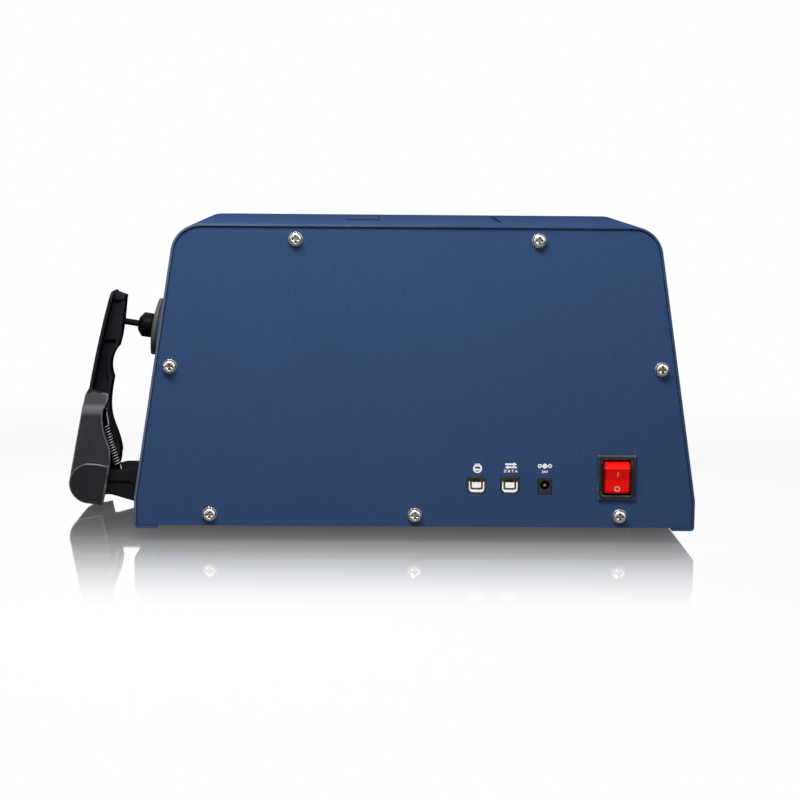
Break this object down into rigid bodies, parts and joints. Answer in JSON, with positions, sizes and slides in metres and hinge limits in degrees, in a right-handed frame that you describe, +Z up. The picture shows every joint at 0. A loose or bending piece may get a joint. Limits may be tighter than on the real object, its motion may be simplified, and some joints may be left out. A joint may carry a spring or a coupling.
{
  "type": "benchtop colorimeter",
  "caption": "Bench instrument in a folded sheet housing with a sloped display, a side sample port with a sprung clamp arm, a flush lid on top, and a rear switch and sockets.",
  "frame": {"origin": "on the bench, at the middle of the whole instrument's footprint, clamp and switch included", "axes": "+X to the right as seen from the rear, away from the clamp; +Y from the rear panel to the sloped front; +Z up"},
  "size_m": [0.4296, 0.305, 0.2095],
  "materials": {
    "blue_powder_coat": "fine-textured powder coat on folded steel sheet",
    "black_plastic": "moulded, lightly textured",
    "charcoal_plastic": "moulded, satin",
    "grey_disc": "turned plastic, satin",
    "red_rocker": "tinted, polished",
    "nickel": "nickel-plated steel",
    "spring_steel": "drawn wire",
    "blackened_steel": "black oxide",
    "rubber": "moulded rubber",
    "display_glass": "dark cover glass",
    "display_black": "display module",
    "white_plastic": "moulded insulator",
    "circuit_board": "solder mask on laminate",
    "brass": "turned",
    "aluminium": "machined",
    "white_coating": "diffuse white coating inside and out",
    "optical_glass": "polished lens",
    "capacitor_sleeve": "shrink sleeve"
  },
  "bodies": {
    "housing": {"wrap_cover": "blue_powder_coat", "rear_panel": "blue_powder_coat", "front_panel": "blue_powder_coat", "base_plate": "blackened_steel", "rear_panel_screws": "nickel", "rear_panel_washers": "nickel", "display_bezel": "black_plastic", "display_module": "display_black", "touch_glass": "display_glass", "rubber_feet": "rubber", "foot_screws": "nickel", "power_switch_housing": "black_plastic", "power_switch_terminals": "nickel", "usb_socket_shells": "nickel", "usb_socket_cores": "white_plastic", "dc_jack_body": "black_plastic", "dc_jack_pin": "nickel", "io_board": "circuit_board", "io_board_standoffs": "brass", "sphere_sample_half": "white_coating", "sphere_exit_half": "white_coating", "sphere_bolts": "nickel", "sphere_cradle": "black_plastic", "port_ring": "charcoal_plastic", "aperture_mask": "black_plastic", "exit_tube": "aluminium", "lamp_housing": "aluminium", "chamber_liner": "black_plastic", "finger_cup": "black_plastic", "spectrometer_box": "aluminium", "spectrometer_cover": "aluminium", "spectrometer_pillars": "aluminium", "lens_barrel": "aluminium", "collimating_lens": "optical_glass", "main_board": "circuit_board", "main_board_standoffs": "brass", "lamp_driver_board": "circuit_board", "driver_board_standoffs": "brass", "flash_capacitors": "capacitor_sleeve", "clamp_bracket": "black_plastic", "bracket_screws": "nickel", "clamp_spring": "spring_steel", "spring_anchor_pin": "blackened_steel"},
    "arm": {"clamp_arm": "black_plastic", "pivot_caps": "charcoal_plastic", "pivot_pin": "nickel", "press_rod": "blackened_steel", "spring_peg": "blackened_steel"},
    "press_pad": {"press_collar": "black_plastic", "press_disc": "grey_disc"},
    "rocker": {"power_switch_rocker": "red_rocker"},
    "lid": {"chamber_lid": "blue_powder_coat", "lid_hinge_pins": "nickel"}
  },
  "joints": [
    {"name": "clamp_swing", "type": "hinge", "parent": "housing", "child": "arm", "pos_m": [-0.20015, -0.00751, 0.0195], "axis": [0, -1, 0], "range_deg": [0, 70], "stiffness_Nm_per_rad": 0.2, "springref_deg": -34.38, "deforming": ["clamp_spring"]},
    {"name": "pad_swivel", "type": "hinge", "parent": "arm", "child": "press_pad", "pos_m": [-0.16745, -0.00751, 0.1317], "axis": [-0.9884, 0, 0.1518], "continuous": true},
    {"name": "rocker_tilt", "type": "hinge", "parent": "housing", "child": "rocker", "pos_m": [0.16265, -0.14296, 0.0447], "axis": [-1, 0, 0], "range_deg": [0, 19.2]},
    {"name": "lid_swing", "type": "hinge", "parent": "housing", "child": "lid", "pos_m": [0.08445, -0.02751, 0.2061], "axis": [0, 1, 0], "range_deg": [0, 95]}
  ]
}
